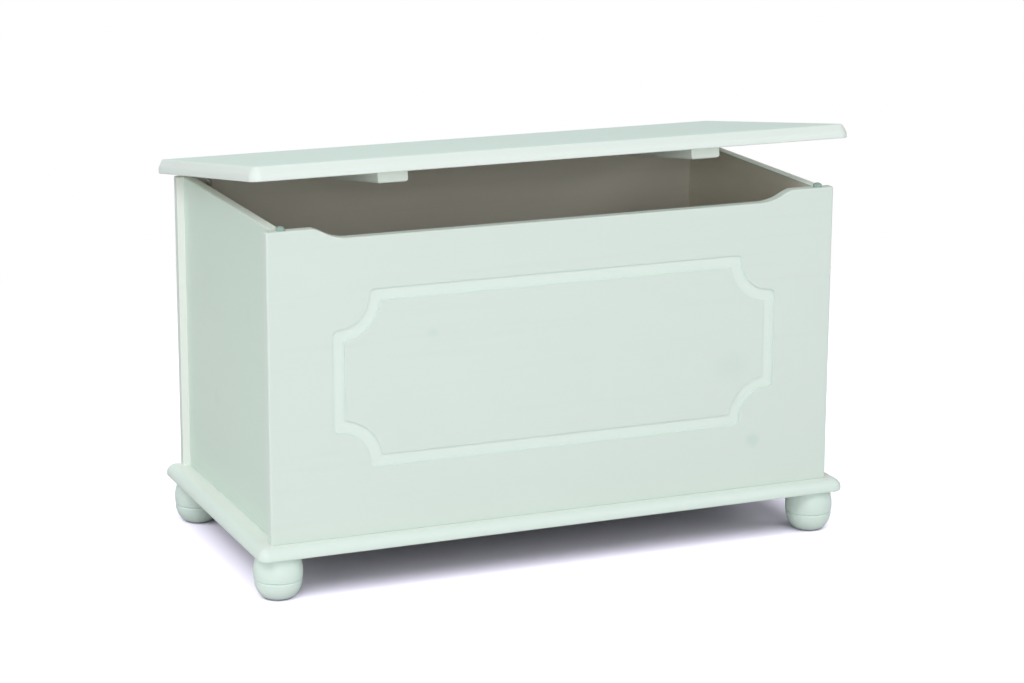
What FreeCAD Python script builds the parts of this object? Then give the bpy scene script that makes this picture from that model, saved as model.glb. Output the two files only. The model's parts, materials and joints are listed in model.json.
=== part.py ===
import FreeCAD, Part
import math
import os

import Sketcher

# Storage trunk: a painted box on a moulded base board with four turned feet and a lid that
# swings on two butt hinges. It is drawn as photographed, with the lid ajar.
# X is the width, the front faces -Y and Z is up. The origin is on the floor under the middle
# of the outline. Lengths are millimetres and angles are degrees.

doc = FreeCAD.newDocument("storage_trunk")
Vector = FreeCAD.Vector

# Driving sizes, one table for each group of pieces
SIZES = {
    # base board with its moulded edge
    "plate_thickness": 17,
    "plate_ledge_front": 19,
    "plate_ledge_side": 21,
    "plate_nose_height": 2,
    "plate_bottom_round": 3,
    "plate_corner_radius": 14,
    # panels: the sides stand inset between the front and the back
    "body_width": 824,
    "body_depth": 414,
    "panel_height": 420,
    "panel_thickness": 15,
    "side_inset": 10,
    "corner_round": 3,
    "rim_round": 2,
    "edge_round": 1,
    "joint_round": 0.8,
    # finger cut-out along the top of the front panel
    "scallop_end_margin": 112,
    "scallop_depth": 15,
    "scallop_radius": 66,
    "scallop_slope_angle": 30,
    # routed frame on the front panel
    "frame_end_margin": 88,
    "frame_top_margin": 85,
    "frame_bottom_margin": 92,
    "frame_notch_radius": 51.5,
    "groove_width": 17,
    "groove_depth": 2.5,
    # lid and its battens
    "lid_thickness": 19.5,
    "lid_gap": 3,
    "lid_overhang_side": 20,
    "lid_overhang_front": 12,
    "lid_overhang_back": 4,
    "lid_bevel_width": 6,
    "lid_bevel_height": 11.5,
    "lid_bevel_round": 12,
    "lid_top_round": 4,
    "lid_bottom_round": 2,
    "lid_corner_radius": 14,
    "ajar_angle": 8.7,
    "open_angle": 85,
    "batten_width": 42,
    "batten_thickness": 15.5,
    "batten_end_margin": 184.5,
    "batten_front_clearance": 11,
    "batten_back_clearance": 18,
    "batten_round": 4,
    # turned feet and what holds them
    "foot_height": 60,
    "foot_radius": 33,
    "foot_bulge_height": 36,
    "foot_upper_curve": 55,
    "foot_top_round": 1.5,
    "foot_groove_height": 26,
    "foot_groove_depth": 2.8,
    "foot_groove_half": 1.4,
    "foot_groove_round": 1,
    "foot_lower_radius": 32.3,
    "foot_sole_round": 12,
    "foot_from_side": 36,
    "foot_from_front": 38,
    "foot_from_back": 34,
    "stud_radius": 4,
    "stud_in_foot": 32,
    "stud_in_plate": 11,
    "insert_radius": 6,
    "insert_length": 12,
    # corner joints between the panels
    "dowel_radius": 4,
    "dowel_length": 30,
    "dowel_in_panel": 10,
    "dowel_from_end": 55,
    "cam_radius": 7.5,
    "cam_depth": 12.5,
    "cam_setback": 24,
    "cam_from_end": 110,
    "cam_bolt_radius": 3,
    "cam_bolt_thread_radius": 3.5,
    "cam_bolt_in_panel": 10,
    # wood screws
    "screw_radius": 2,
    "screw_head_radius": 4,
    "screw_head_height": 2.6,
    "base_screw_length": 42,
    "base_screw_end_margin": 82,
    "batten_screw_length": 27,
    "batten_screw_end_margin": 37.5,
    "small_screw_radius": 1.5,
    "small_head_radius": 2.9,
    "small_head_height": 1.2,
    "small_screw_length": 13,
    # butt hinges
    "hinge_end_margin": 142,
    "hinge_length": 64,
    "leaf_thickness": 1.4,
    "leaf_width": 20,
    "knuckle_radius": 3.2,
    "knuckle_play": 0.15,
    "pin_radius": 1.5,
    "pin_play": 0.05,
    "pin_overhang": 0.6,
    "hinge_screw_depth": 13.5,
    "hinge_screw_spread": 22,
    # bumpers on the front corners
    "bumper_radius": 6,
    "bumper_wall_height": 3.4,
    "bumper_height": 6,
    "bumper_from_end": 21.5,
    # folding lid stay on the left side
    "stay_reach_length": 71,
    "stay_drop_height": 10,
    "stay_spread_angle": 50,
    "stay_width": 14,
    "stay_thickness": 2,
    "stay_play": 0.3,
    "rivet_radius": 3,
    "rivet_head_radius": 5,
    "rivet_head_height": 1,
    "rivet_play": 0.08,
    "loop_play": 0.3,
    "stop_size": 3,
    "stop_margin_angle": 0.5,
    "bracket_width": 18,
    "bracket_length": 42,
    "bracket_screw_first": 17,
    "bracket_screw_spread": 16,
    "flange_length": 36,
    "flange_width": 16,
    "flange_screw_spread": 11,
    # shared fits
    "fit_play": 0.05,
    "seat_play": 0.3,
    "overrun": 5,
}

# Places worked out from the sizes
PLACES = {
    "half_width": "Sizes.body_width / 2",
    "rear_reach": "Sizes.lid_overhang_back + 2 * Sizes.knuckle_radius",
    "front_edge": "-(Sizes.plate_ledge_front + Sizes.body_depth + Places.rear_reach) / 2",
    "front_face": "Places.front_edge + Sizes.plate_ledge_front",
    "back_face": "Places.front_face + Sizes.body_depth",
    "inner_front": "Places.front_face + Sizes.panel_thickness",
    "inner_back": "Places.back_face - Sizes.panel_thickness",
    "side_face": "Places.half_width - Sizes.side_inset",
    "side_inner": "Places.side_face - Sizes.panel_thickness",
    "side_middle": "Places.side_face - Sizes.panel_thickness / 2",
    "plate_half_width": "Places.half_width + Sizes.plate_ledge_side",
    "plate_top": "Sizes.foot_height + Sizes.plate_thickness",
    "plate_top_round": "Sizes.plate_thickness - Sizes.plate_bottom_round"
                       " - Sizes.plate_nose_height",
    "panel_top": "Places.plate_top + Sizes.panel_height",
    "lid_half_width": "Places.half_width + Sizes.lid_overhang_side",
    "lid_front": "Places.front_face - Sizes.lid_overhang_front",
    "lid_back": "Places.back_face + Sizes.lid_overhang_back",
    "hinge_y": "Places.lid_back + Sizes.knuckle_radius",
    "hinge_z": "Places.panel_top + Sizes.lid_gap / 2",
    "foot_x": "Places.plate_half_width - Sizes.foot_from_side",
    "foot_front_y": "Places.front_edge + Sizes.foot_from_front",
    "foot_back_y": "Places.back_face - Sizes.foot_from_back",
    "batten_front": "Places.inner_front + Sizes.batten_front_clearance",
    "batten_back": "Places.inner_back - Sizes.batten_back_clearance",
    "batten_x": "Places.half_width - Sizes.batten_end_margin",
    "batten_screw_reach": "(Places.batten_back - Places.batten_front) / 2"
                          " - Sizes.batten_screw_end_margin",
    "base_screw_outer": "Places.half_width - Sizes.base_screw_end_margin",
    "side_screw_reach": "(Places.inner_back - Places.inner_front) / 2"
                        " - Sizes.base_screw_end_margin",
    "hinge_x": "Places.half_width - Sizes.hinge_end_margin",
    "bumper_y": "Places.front_face + (Sizes.panel_thickness + Sizes.rim_round"
                " - Sizes.edge_round) / 2",
    "stay_length": "hypot(Sizes.stay_reach_length; Sizes.stay_drop_height)",
    "stay_angle": "atan2(Sizes.stay_drop_height; Sizes.stay_reach_length) + Sizes.stay_spread_angle * 1 deg",
    "stay_pivot_y": "Places.hinge_y - Places.stay_length * cos(Places.stay_angle)",
    "stay_pivot_z": "Places.hinge_z - Places.stay_length * sin(Places.stay_angle)",
    "stay_rest": "atan2(Sizes.stay_drop_height; Sizes.stay_reach_length) - Sizes.ajar_angle * 1 deg",
    "knee_y": "Places.stay_pivot_y - Places.stay_length * cos(Places.stay_rest)",
    "knee_z": "Places.stay_pivot_z - Places.stay_length * sin(Places.stay_rest)",
    "stop_angle": "(180 - Sizes.stay_spread_angle - Sizes.open_angle - Sizes.stop_margin_angle) * 1 deg",
    "stop_reach": "(Sizes.stay_width + Sizes.stop_size * cos(Places.stop_angle))"
                  " / (2 * sin(Places.stop_angle))",
    "stay_wall": "-Places.side_inner",
    "stay_layer": "Sizes.stay_thickness + Sizes.stay_play",
    "foot_upper_x": "Sizes.foot_radius - Sizes.foot_upper_curve",
    "bumper_crown": "Sizes.bumper_height - Sizes.bumper_wall_height",
    "bumper_dome": "(pow(Sizes.bumper_radius; 2) + pow(Places.bumper_crown; 2))"
                   " / (2 * Places.bumper_crown)",
    "knuckle_length": "(Sizes.hinge_length - 4 * Sizes.knuckle_play) / 5",
    "frame_sharp": "sqrt(pow(Sizes.frame_notch_radius + Sizes.groove_width / 2; 2)"
                   " - pow(Sizes.groove_width / 2; 2))",
    "scallop_floor": "Places.panel_top - Sizes.scallop_depth",
    "scallop_half_width": "Places.half_width - Sizes.scallop_end_margin",
    "scallop_turn_x": "Places.scallop_half_width"
                      " + Sizes.scallop_radius * sin(Sizes.scallop_slope_angle * 1 deg)",
    "scallop_rise": "Sizes.scallop_radius * (1 - cos(Sizes.scallop_slope_angle * 1 deg))",
    "scallop_turn_z": "Places.scallop_floor + Places.scallop_rise",
    "scallop_end": "acos(Sizes.scallop_depth / Sizes.scallop_radius - 1"
                   " + 2 * cos(Sizes.scallop_slope_angle * 1 deg))",
    "scallop_end_x": "2 * Places.scallop_turn_x - Places.scallop_half_width"
                     " - Sizes.scallop_radius * sin(Places.scallop_end)",
    "frame_top": "Places.panel_top - Sizes.frame_top_margin - Sizes.groove_width / 2",
    "frame_bottom": "Places.plate_top + Sizes.frame_bottom_margin + Sizes.groove_width / 2",
    "frame_side": "Places.half_width - Sizes.frame_end_margin - Sizes.groove_width / 2",
}

sizes = doc.addObject("Spreadsheet::Sheet", "Sizes")
for row, (alias, number) in enumerate(SIZES.items(), start=1):
    sizes.set("A%d" % row, alias)
    sizes.set("B%d" % row, str(number))
    sizes.setAlias("B%d" % row, alias)
places = doc.addObject("Spreadsheet::Sheet", "Places")
for row, (alias, formula) in enumerate(PLACES.items(), start=1):
    places.set("A%d" % row, alias)
    places.setAlias("B%d" % row, alias)
    places.set("B%d" % row, "=" + formula.replace("Places.", ""))
doc.recompute()


def measure(formula):
    """The number that a formula of the two sheets gives."""
    result = sizes.evalExpression(formula)
    return getattr(result, "Value", result)


def move(item, x="0", y="0", z="0"):
    """Places an item by three formulas."""
    for axis, formula in zip("xyz", (x, y, z)):
        item.setExpression("Placement.Base." + axis, formula)
    return item


def block(name, x, y, z):
    """A box given by its low and high formula on each axis."""
    item = doc.addObject("Part::Box", name)
    for side, (low, high) in zip(("Length", "Width", "Height"), (x, y, z)):
        item.setExpression(side, "(%s) - (%s)" % (high, low))
    return move(item, x[0], y[0], z[0])


TURNS = {
    "up": FreeCAD.Rotation(),
    "down": FreeCAD.Rotation(Vector(1, 0, 0), 180),
    "right": FreeCAD.Rotation(Vector(0, 1, 0), 90),
    "left": FreeCAD.Rotation(Vector(0, 1, 0), -90),
    "back": FreeCAD.Rotation(Vector(1, 0, 0), -90),
    "front": FreeCAD.Rotation(Vector(1, 0, 0), 90),
}


def aim(item, way, x="0", y="0", z="0"):
    """Points the item's own Z one way and places it."""
    item.Placement = FreeCAD.Placement(Vector(), TURNS[way])
    return move(item, x, y, z)


def rod(name, radius, length, way="up", x="0", y="0", z="0"):
    """A round bar that starts at a place and runs one way."""
    item = doc.addObject("Part::Cylinder", name)
    item.setExpression("Radius", radius)
    item.setExpression("Height", length)
    return aim(item, way, x, y, z)


def join(name, items):
    """One solid from overlapping pieces."""
    item = doc.addObject("Part::MultiFuse", name)
    item.Shapes = items
    return item


def group(name, items):
    """Separate solids kept together, like pieces or cutters."""
    item = doc.addObject("Part::Compound", name)
    item.Links = items
    return item


def carve(name, base, tools):
    """A piece with its holes and recesses cut one after another."""
    for tool in tools:
        item = doc.addObject("Part::Cut", name)
        item.Base = base
        item.Tool = tool
        base = item
    return base


def screw(name, radius, head_radius, head_height, length, way, x, y, z):
    """A countersunk wood screw: its solid outline, and the screw with its cross recess."""
    shank = rod(name + "_shank", radius, "%s - 2 * %s" % (length, radius))
    tip = doc.addObject("Part::Cone", name + "_tip")
    tip.setExpression("Radius1", radius)
    tip.Radius2 = 0
    tip.setExpression("Height", "2 * %s" % radius)
    move(tip, z="%s - 2 * %s" % (length, radius))
    head = doc.addObject("Part::Cone", name + "_head")
    head.setExpression("Radius1", head_radius)
    head.setExpression("Radius2", radius)
    head.setExpression("Height", head_height)
    whole = aim(join(name + "_whole", [shank, tip, head]), way, x, y, z)
    arm = "%s * 0.6" % head_radius
    slot = "%s / 4" % radius
    deep = ("-Sizes.overrun", "%s * 0.6" % head_height)
    cross = [
        block(name + "_slot_a", ("-" + arm, arm), ("-" + slot, slot), deep),
        block(name + "_slot_b", ("-" + slot, slot), ("-" + arm, arm), deep),
    ]
    recess = aim(join(name + "_cross", cross), way, x, y, z)
    return whole, carve(name, whole, [recess])


def body(name):
    return doc.addObject("PartDesign::Body", name)


def sketch_on(owner, name, role, height="0"):
    """A sketch on one of the body's own planes, raised along the plane's normal."""
    sketch = owner.newObject("Sketcher::SketchObject", name)
    plane = next(item for item in owner.Origin.OriginFeatures if item.Role == role)
    sketch.AttachmentSupport = [(plane, "")]
    sketch.MapMode = "FlatFace"
    sketch.setExpression("AttachmentOffset.Base.z", height)
    return sketch


def outline(sketch, corners):
    """A closed loop through corners, each (x, y) with an optional arc to the next corner.

    An arc is (radius, centre x, centre y, turn), where turn is 1 when the arc runs
    anticlockwise and -1 when it runs clockwise. Every number is a formula.
    """
    points = [Vector(measure(corner[0]), measure(corner[1]), 0) for corner in corners]
    heads = []
    tails = []
    for index, corner in enumerate(corners):
        here = points[index]
        there = points[(index + 1) % len(points)]
        if len(corner) == 2:
            number = sketch.addGeometry(Part.LineSegment(here, there), False)
            heads.append((number, 1))
            tails.append((number, 2))
            continue
        radius, centre_x, centre_y, turn = corner[2]
        centre = Vector(measure(centre_x), measure(centre_y), 0)
        circle = Part.Circle(centre, Vector(0, 0, 1), measure(radius))
        ends = (here, there) if turn > 0 else (there, here)
        angles = [math.atan2(end.y - centre.y, end.x - centre.x) for end in ends]
        number = sketch.addGeometry(Part.ArcOfCircle(circle, angles[0], angles[1]), False)
        heads.append((number, 1 if turn > 0 else 2))
        tails.append((number, 2 if turn > 0 else 1))
        rule = sketch.addConstraint(Sketcher.Constraint("Radius", number, measure(radius)))
        sketch.setExpression("Constraints[%d]" % rule, radius)
    for index, corner in enumerate(corners):
        after = heads[(index + 1) % len(corners)]
        sketch.addConstraint(Sketcher.Constraint("Coincident", *tails[index], *after))
        for kind, formula in zip(("DistanceX", "DistanceY"), corner):
            distance = Sketcher.Constraint(kind, -1, 1, *heads[index], measure(formula))
            rule = sketch.addConstraint(distance)
            sketch.setExpression("Constraints[%d]" % rule, formula)
    return sketch


def pad(owner, name, sketch, length):
    item = owner.newObject("PartDesign::Pad", name)
    item.Profile = sketch
    item.setExpression("Length", length)
    return item


def turned(owner, name, sketch):
    """A solid of revolution about the sketch's upright axis."""
    item = owner.newObject("PartDesign::Revolution", name)
    item.Profile = sketch
    item.ReferenceAxis = (sketch, ["V_Axis"])
    item.Angle = 360
    return item


def soften(owner, name, kind, size, chosen):
    """A fillet or chamfer on every edge that the test picks."""
    doc.recompute()
    base = owner.Tip
    edges = enumerate(base.Shape.Edges, start=1)
    names = ["Edge%d" % number for number, edge in edges if chosen(edge)]
    item = owner.newObject("PartDesign::" + kind, name)
    item.Base = (base, names)
    item.setExpression("Radius" if kind == "Fillet" else "Size", size)
    return item


def near(first, second):
    """Whether two lengths agree, measured against the trunk's width."""
    return abs(first - second) < measure("Sizes.body_width") / 1e6


def lies(edge, axis, place):
    """Whether an edge lies in the plane that an axis number and a formula name."""
    flat = measure(place)
    return all(near(vertex.Point[axis], flat) for vertex in edge.Vertexes)


def rectangle(x, y):
    """The four corners between two formulas on each axis, anticlockwise."""
    return [(x[0], y[0]), (x[1], y[0]), (x[1], y[1]), (x[0], y[1])]


SIDES = {"left": "-", "right": "+"}
nodes = {}


def finish(name, item):
    """Names a finished piece."""
    item.Label = name
    nodes[name] = item
    return item


def swing(item):
    """Turns a piece of the lid, drawn shut about the hinge line, to the lid's resting angle."""
    item.Placement = FreeCAD.Placement(Vector(), FreeCAD.Rotation(Vector(-1, 0, 0), 1))
    item.setExpression("Placement.Rotation.Angle", "Sizes.ajar_angle * 1 deg")
    return move(item, y="Places.hinge_y", z="Places.hinge_z")


# Base board: ledge and rounded moulding on the front and sides, cut flush at the back
owner = body("base_blank")
reach = ("-Places.plate_half_width", "Places.plate_half_width")
face = sketch_on(owner, "base_outline", "XY_Plane", "Sizes.foot_height")
outline(face, rectangle(reach, ("Places.front_edge", "Places.back_face")))
pad(owner, "base_board", face, "Sizes.plate_thickness")


def standing(edge):
    """Whether the ends of an edge differ in height."""
    return not near(edge.Vertexes[0].Z, edge.Vertexes[-1].Z)


def moulded(edge, height):
    """Whether an edge belongs to the front or sides of the base board at one height."""
    back = lies(edge, 1, "Places.back_face")
    return lies(edge, 2, height) and not back


soften(owner, "base_corner_round", "Fillet", "Sizes.plate_corner_radius",
       lambda edge: standing(edge) and lies(edge, 1, "Places.front_edge"))
soften(owner, "base_top_round", "Fillet", "Places.plate_top_round",
       lambda edge: moulded(edge, "Places.plate_top"))
soften(owner, "base_bottom_round", "Fillet", "Sizes.plate_bottom_round",
       lambda edge: moulded(edge, "Sizes.foot_height"))
base_blank = owner


# Front panel: a cut-out with ogee shoulders along the top and a routed frame on the face
owner = body("front_blank")
face = sketch_on(owner, "front_outline", "XZ_Plane", "-Places.inner_front")
bottom = "Places.plate_top"
top = "Places.panel_top"
floor = "Places.scallop_floor"
bend = "Sizes.scallop_radius"
cove_z = "Places.scallop_floor + Sizes.scallop_radius"
swell_x = "2 * Places.scallop_turn_x - Places.scallop_half_width"
swell_z = "Places.scallop_floor + 2 * Places.scallop_rise - Sizes.scallop_radius"
outline(face, [
    ("-Places.half_width", bottom),
    ("Places.half_width", bottom),
    ("Places.half_width", top),
    ("Places.scallop_end_x", top, (bend, swell_x, swell_z, 1)),
    ("Places.scallop_turn_x", "Places.scallop_turn_z",
     (bend, "Places.scallop_half_width", cove_z, -1)),
    ("Places.scallop_half_width", floor),
    ("-Places.scallop_half_width", floor, (bend, "-Places.scallop_half_width", cove_z, -1)),
    ("-Places.scallop_turn_x", "Places.scallop_turn_z", (bend, "-(%s)" % swell_x, swell_z, 1)),
    ("-Places.scallop_end_x", top),
    ("-Places.half_width", top),
])
pad(owner, "front_board", face, "Sizes.panel_thickness")


def upright(edge, x, y):
    """Whether an edge stands on end at plus or minus a width and at a depth."""
    across = abs(edge.Vertexes[0].X)
    return near(across, abs(edge.Vertexes[-1].X)) and near(across, measure(x)) \
        and lies(edge, 1, y) and standing(edge)


def rim(edge, y, low):
    """Whether an edge is part of a panel's upper outline on the face at a depth."""
    above = all(vertex.Z > measure(low) - measure("Sizes.fit_play") for vertex in edge.Vertexes)
    return above and lies(edge, 1, y)


soften(owner, "front_corner_round", "Fillet", "Sizes.corner_round",
       lambda edge: upright(edge, "Places.half_width", "Places.front_face"))
soften(owner, "front_rim_round", "Fillet", "Sizes.rim_round",
       lambda edge: rim(edge, "Places.front_face", floor))
soften(owner, "front_inner_round", "Fillet", "Sizes.edge_round",
       lambda edge: rim(edge, "Places.inner_front", floor))
soften(owner, "front_joint_round", "Fillet", "Sizes.joint_round",
       lambda edge: lies(edge, 1, "Places.front_face") and lies(edge, 2, bottom))

FRAME_CORNERS = [
    ("Places.frame_side", "Places.frame_bottom", (1, 0), (0, 1)),
    ("Places.frame_side", "Places.frame_top", (0, 1), (-1, 0)),
    ("-Places.frame_side", "Places.frame_top", (-1, 0), (0, -1)),
    ("-Places.frame_side", "Places.frame_bottom", (0, -1), (1, 0)),
]
half = "Sizes.groove_width / 2"
notch = "Sizes.frame_notch_radius"
outer_loop = []
inner_loop = []
for corner_x, corner_z, ahead, aside in FRAME_CORNERS:

    def step(before, after):
        """A point reached from the corner by a formula along each of the two directions."""
        return tuple("%s + (%s) * (%d) + (%s) * (%d)" % (start, before, ahead[i], after, aside[i])
                     for i, start in enumerate((corner_x, corner_z)))

    into = "-(%s - %s)" % (notch, half)
    away = "%s - %s" % (notch, half)
    outer_loop += [
        step("-" + notch, "-" + half) + ((half,) + step("-" + notch, "0") + (1,),),
        step(into, "0") + ((away,) + step("0", "0") + (-1,),),
        step("0", away) + ((half,) + step("0", notch) + (1,),),
        step(half, notch),
    ]
    inner_loop += [
        step("-Places.frame_sharp", half) + (("%s + %s" % (notch, half),) + step("0", "0") + (-1,),),
        step("-" + half, "Places.frame_sharp"),
    ]
face = sketch_on(owner, "front_frame", "XZ_Plane", "-Places.front_face")
outline(face, outer_loop)
outline(face, inner_loop)
doc.recompute()
groove = owner.newObject("PartDesign::Pocket", "front_groove")
groove.Profile = face
groove.setExpression("Length", "Sizes.groove_depth")
front_blank = owner


# Back panel: a plain board that carries the hinges on its top edge
owner = body("back_blank")
face = sketch_on(owner, "back_outline", "XZ_Plane", "-Places.back_face")
width = ("-Places.half_width", "Places.half_width")
outline(face, rectangle(width, ("Places.plate_top", "Places.panel_top")))
pad(owner, "back_board", face, "Sizes.panel_thickness")
soften(owner, "back_corner_round", "Fillet", "Sizes.corner_round",
       lambda edge: upright(edge, "Places.half_width", "Places.back_face"))
soften(owner, "back_rim_round", "Fillet", "Sizes.rim_round",
       lambda edge: rim(edge, "Places.back_face", "Places.panel_top"))
soften(owner, "back_inner_round", "Fillet", "Sizes.edge_round",
       lambda edge: rim(edge, "Places.inner_back", "Places.panel_top"))
back_blank = owner


# Side panels: boards held between the front and the back, set in behind their ends
side_blanks = {}
for side, sign in SIDES.items():
    owner = body(side + "_side_blank")
    start = "-Places.side_face" if sign == "-" else "Places.side_inner"
    face = sketch_on(owner, side + "_side_outline", "YZ_Plane", start)
    depth = ("Places.inner_front", "Places.inner_back")
    outline(face, rectangle(depth, ("Places.plate_top", "Places.panel_top")))
    pad(owner, side + "_side_board", face, "Sizes.panel_thickness")
    for part, place, height, size in (
        ("outer", "Places.side_face", "Places.panel_top", "Sizes.rim_round"),
        ("inner", "Places.side_inner", "Places.panel_top", "Sizes.edge_round"),
        ("joint", "Places.side_face", "Places.plate_top", "Sizes.joint_round"),
    ):
        soften(owner, "%s_side_%s_round" % (side, part), "Fillet", size,
               lambda edge: lies(edge, 0, sign + place) and lies(edge, 2, height))
    side_blanks[side] = owner


# Corner joints: wooden dowels, and bolts drawn tight by round locks in the side panels
dowels = []
bolts = []
lock_blanks = []
lock_slots = []
for side, sign in SIDES.items():
    for end, wall, way, into, back in (
        ("front", "Places.inner_front", "back", "+", "-"),
        ("back", "Places.inner_back", "front", "-", "+"),
    ):
        for level, start, up in (("low", "Places.plate_top", "+"), ("high", "Places.panel_top", "-")):
            name = "%s_%s_%s" % (side, end, level)
            middle = sign + "Places.side_middle"
            height = "%s %s Sizes.dowel_from_end" % (start, up)
            foot = "%s %s Sizes.dowel_in_panel" % (wall, back)
            dowels.append(rod("dowel_" + name, "Sizes.dowel_radius", "Sizes.dowel_length",
                              way, middle, foot, height))
            height = "%s %s Sizes.cam_from_end" % (start, up)
            foot = "%s %s Sizes.cam_bolt_in_panel" % (wall, back)
            thread = rod("bolt_thread_" + name, "Sizes.cam_bolt_thread_radius",
                         "Sizes.cam_bolt_in_panel")
            shank = rod("bolt_shank_" + name, "Sizes.cam_bolt_radius",
                        "Sizes.cam_bolt_in_panel + Sizes.cam_setback + Sizes.cam_bolt_radius")
            bolt = join("bolt_" + name, [thread, shank])
            bolts.append(aim(bolt, way, middle, foot, height))
            out = "left" if sign == "-" else "right"
            centre = (sign + "Places.side_inner", "%s %s Sizes.cam_setback" % (wall, into), height)
            lock_blanks.append(rod("lock_" + name, "Sizes.cam_radius", "Sizes.cam_depth",
                                   out, *centre))
            slot = [
                block("lock_slot_%s_%d" % (name, turn), *[
                    ("-%s" % reach, reach) for reach in (
                        ("Sizes.cam_radius * 0.6", "Sizes.cam_radius * 0.12")[::1 - 2 * turn]
                    )], ("-Sizes.overrun", "Sizes.cam_depth * 0.2"))
                for turn in (0, 1)
            ]
            lock_slots.append(aim(join("lock_cross_" + name, slot), out, *centre))
corner_dowels = finish("corner_dowels", group("corner_dowels", dowels))
cam_bolts = finish("cam_bolts", group("cam_bolts", bolts))
locks = group("lock_blanks", lock_blanks)
slots = group("lock_slots", lock_slots)
finish("cam_locks", carve("cam_locks", locks, [slots, cam_bolts]))


# Turned feet and the studs that screw them into threaded inserts in the base board
feet = {}
stud_list = []
insert_list = []
for side, sign in SIDES.items():
    for end in ("front", "back"):
        name = "%s_%s" % (end, side)
        centre = (sign + "Places.foot_x", "Places.foot_%s_y" % end)
        owner = body(name + "_foot_blank")
        face = sketch_on(owner, name + "_foot_profile", "XZ_Plane")
        lower = "sqrt(pow(Sizes.foot_lower_radius; 2) - pow(%s; 2))"
        upper = "Places.foot_upper_x + sqrt(pow(Sizes.foot_upper_curve; 2) - pow(%s; 2))"
        mark = "Sizes.foot_groove_height"
        slit = "Sizes.foot_groove_half"
        bulge = "Sizes.foot_bulge_height"
        outline(face, [
            ("0", "0"),
            (lower % mark, "0", ("Sizes.foot_lower_radius", "0", mark, 1)),
            (lower % slit, "%s - %s" % (mark, slit)),
            ("Sizes.foot_radius - Sizes.foot_groove_depth", mark),
            (upper % ("(%s - %s - %s)" % (bulge, mark, slit)), "%s + %s" % (mark, slit),
             ("Sizes.foot_upper_curve", "Places.foot_upper_x", bulge, 1)),
            (upper % ("(Sizes.foot_height - %s)" % bulge), "Sizes.foot_height"),
            ("0", "Sizes.foot_height"),
        ])
        turned(owner, name + "_foot_turning", face)
        for part, height, size in (
            ("sole", "0", "Sizes.foot_sole_round"),
            ("bead", "%s - %s" % (mark, slit), "Sizes.foot_groove_round"),
            ("top", "Sizes.foot_height", "Sizes.foot_top_round"),
        ):
            soften(owner, "%s_foot_%s" % (name, part), "Fillet", size,
                   lambda edge: lies(edge, 2, height) and edge.Length > measure("Sizes.foot_radius"))
        move(owner, *centre)
        feet[name] = owner
        stud_list.append(rod("stud_" + name, "Sizes.stud_radius",
                             "Sizes.stud_in_foot + Sizes.stud_in_plate", "up", *centre,
                             "Sizes.foot_height - Sizes.stud_in_foot"))
        insert_list.append(rod("insert_" + name, "Sizes.insert_radius", "Sizes.insert_length",
                               "up", *centre, "Sizes.foot_height"))
foot_studs = finish("foot_studs", group("foot_studs", stud_list))
insert_blanks = group("insert_blanks", insert_list)
finish("foot_inserts", carve("foot_inserts", insert_blanks, [foot_studs]))
for name, blank in feet.items():
    finish(name + "_foot", carve(name + "_foot", blank, [foot_studs]))


# Screws that hold the panels on the base board
front_row = "Places.front_face + Sizes.panel_thickness / 2"
back_row = "Places.back_face - Sizes.panel_thickness / 2"
middle = "(Places.front_face + Places.back_face) / 2"
spots = [
    ("%s%s" % (sign, spread), row)
    for row in (front_row, back_row)
    for sign in SIDES.values()
    for spread in ("Places.base_screw_outer", "Places.base_screw_outer / 3")
] + [
    (sign + "Places.side_middle", "%s %s Places.side_screw_reach" % (middle, shift))
    for sign in SIDES.values()
    for shift in "+-"
]
wood = ("Sizes.screw_radius", "Sizes.screw_head_radius", "Sizes.screw_head_height")
pairs = [screw("base_screw_%d" % number, *wood, "Sizes.base_screw_length", "up",
               *spot, "Sizes.foot_height")
         for number, spot in enumerate(spots, start=1)]
base_holes = group("base_holes", [whole for whole, piece in pairs])
finish("base_screws", group("base_screws", [piece for whole, piece in pairs]))


# Bumpers: low clear domes on the top edge at the front corners
for side, sign in SIDES.items():
    owner = body(side + "_bumper")
    face = sketch_on(owner, side + "_bumper_profile", "XZ_Plane")
    outline(face, [
        ("0", "0"),
        ("Sizes.bumper_radius", "0"),
        ("Sizes.bumper_radius", "Sizes.bumper_wall_height",
         ("Places.bumper_dome", "0", "Sizes.bumper_height - Places.bumper_dome", 1)),
        ("0", "Sizes.bumper_height"),
    ])
    turned(owner, side + "_bumper_dome", face)
    spot = "%s(Places.half_width - Sizes.bumper_from_end)" % sign
    finish("bumper_" + side, move(owner, spot, "Places.bumper_y", "Places.panel_top"))


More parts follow.
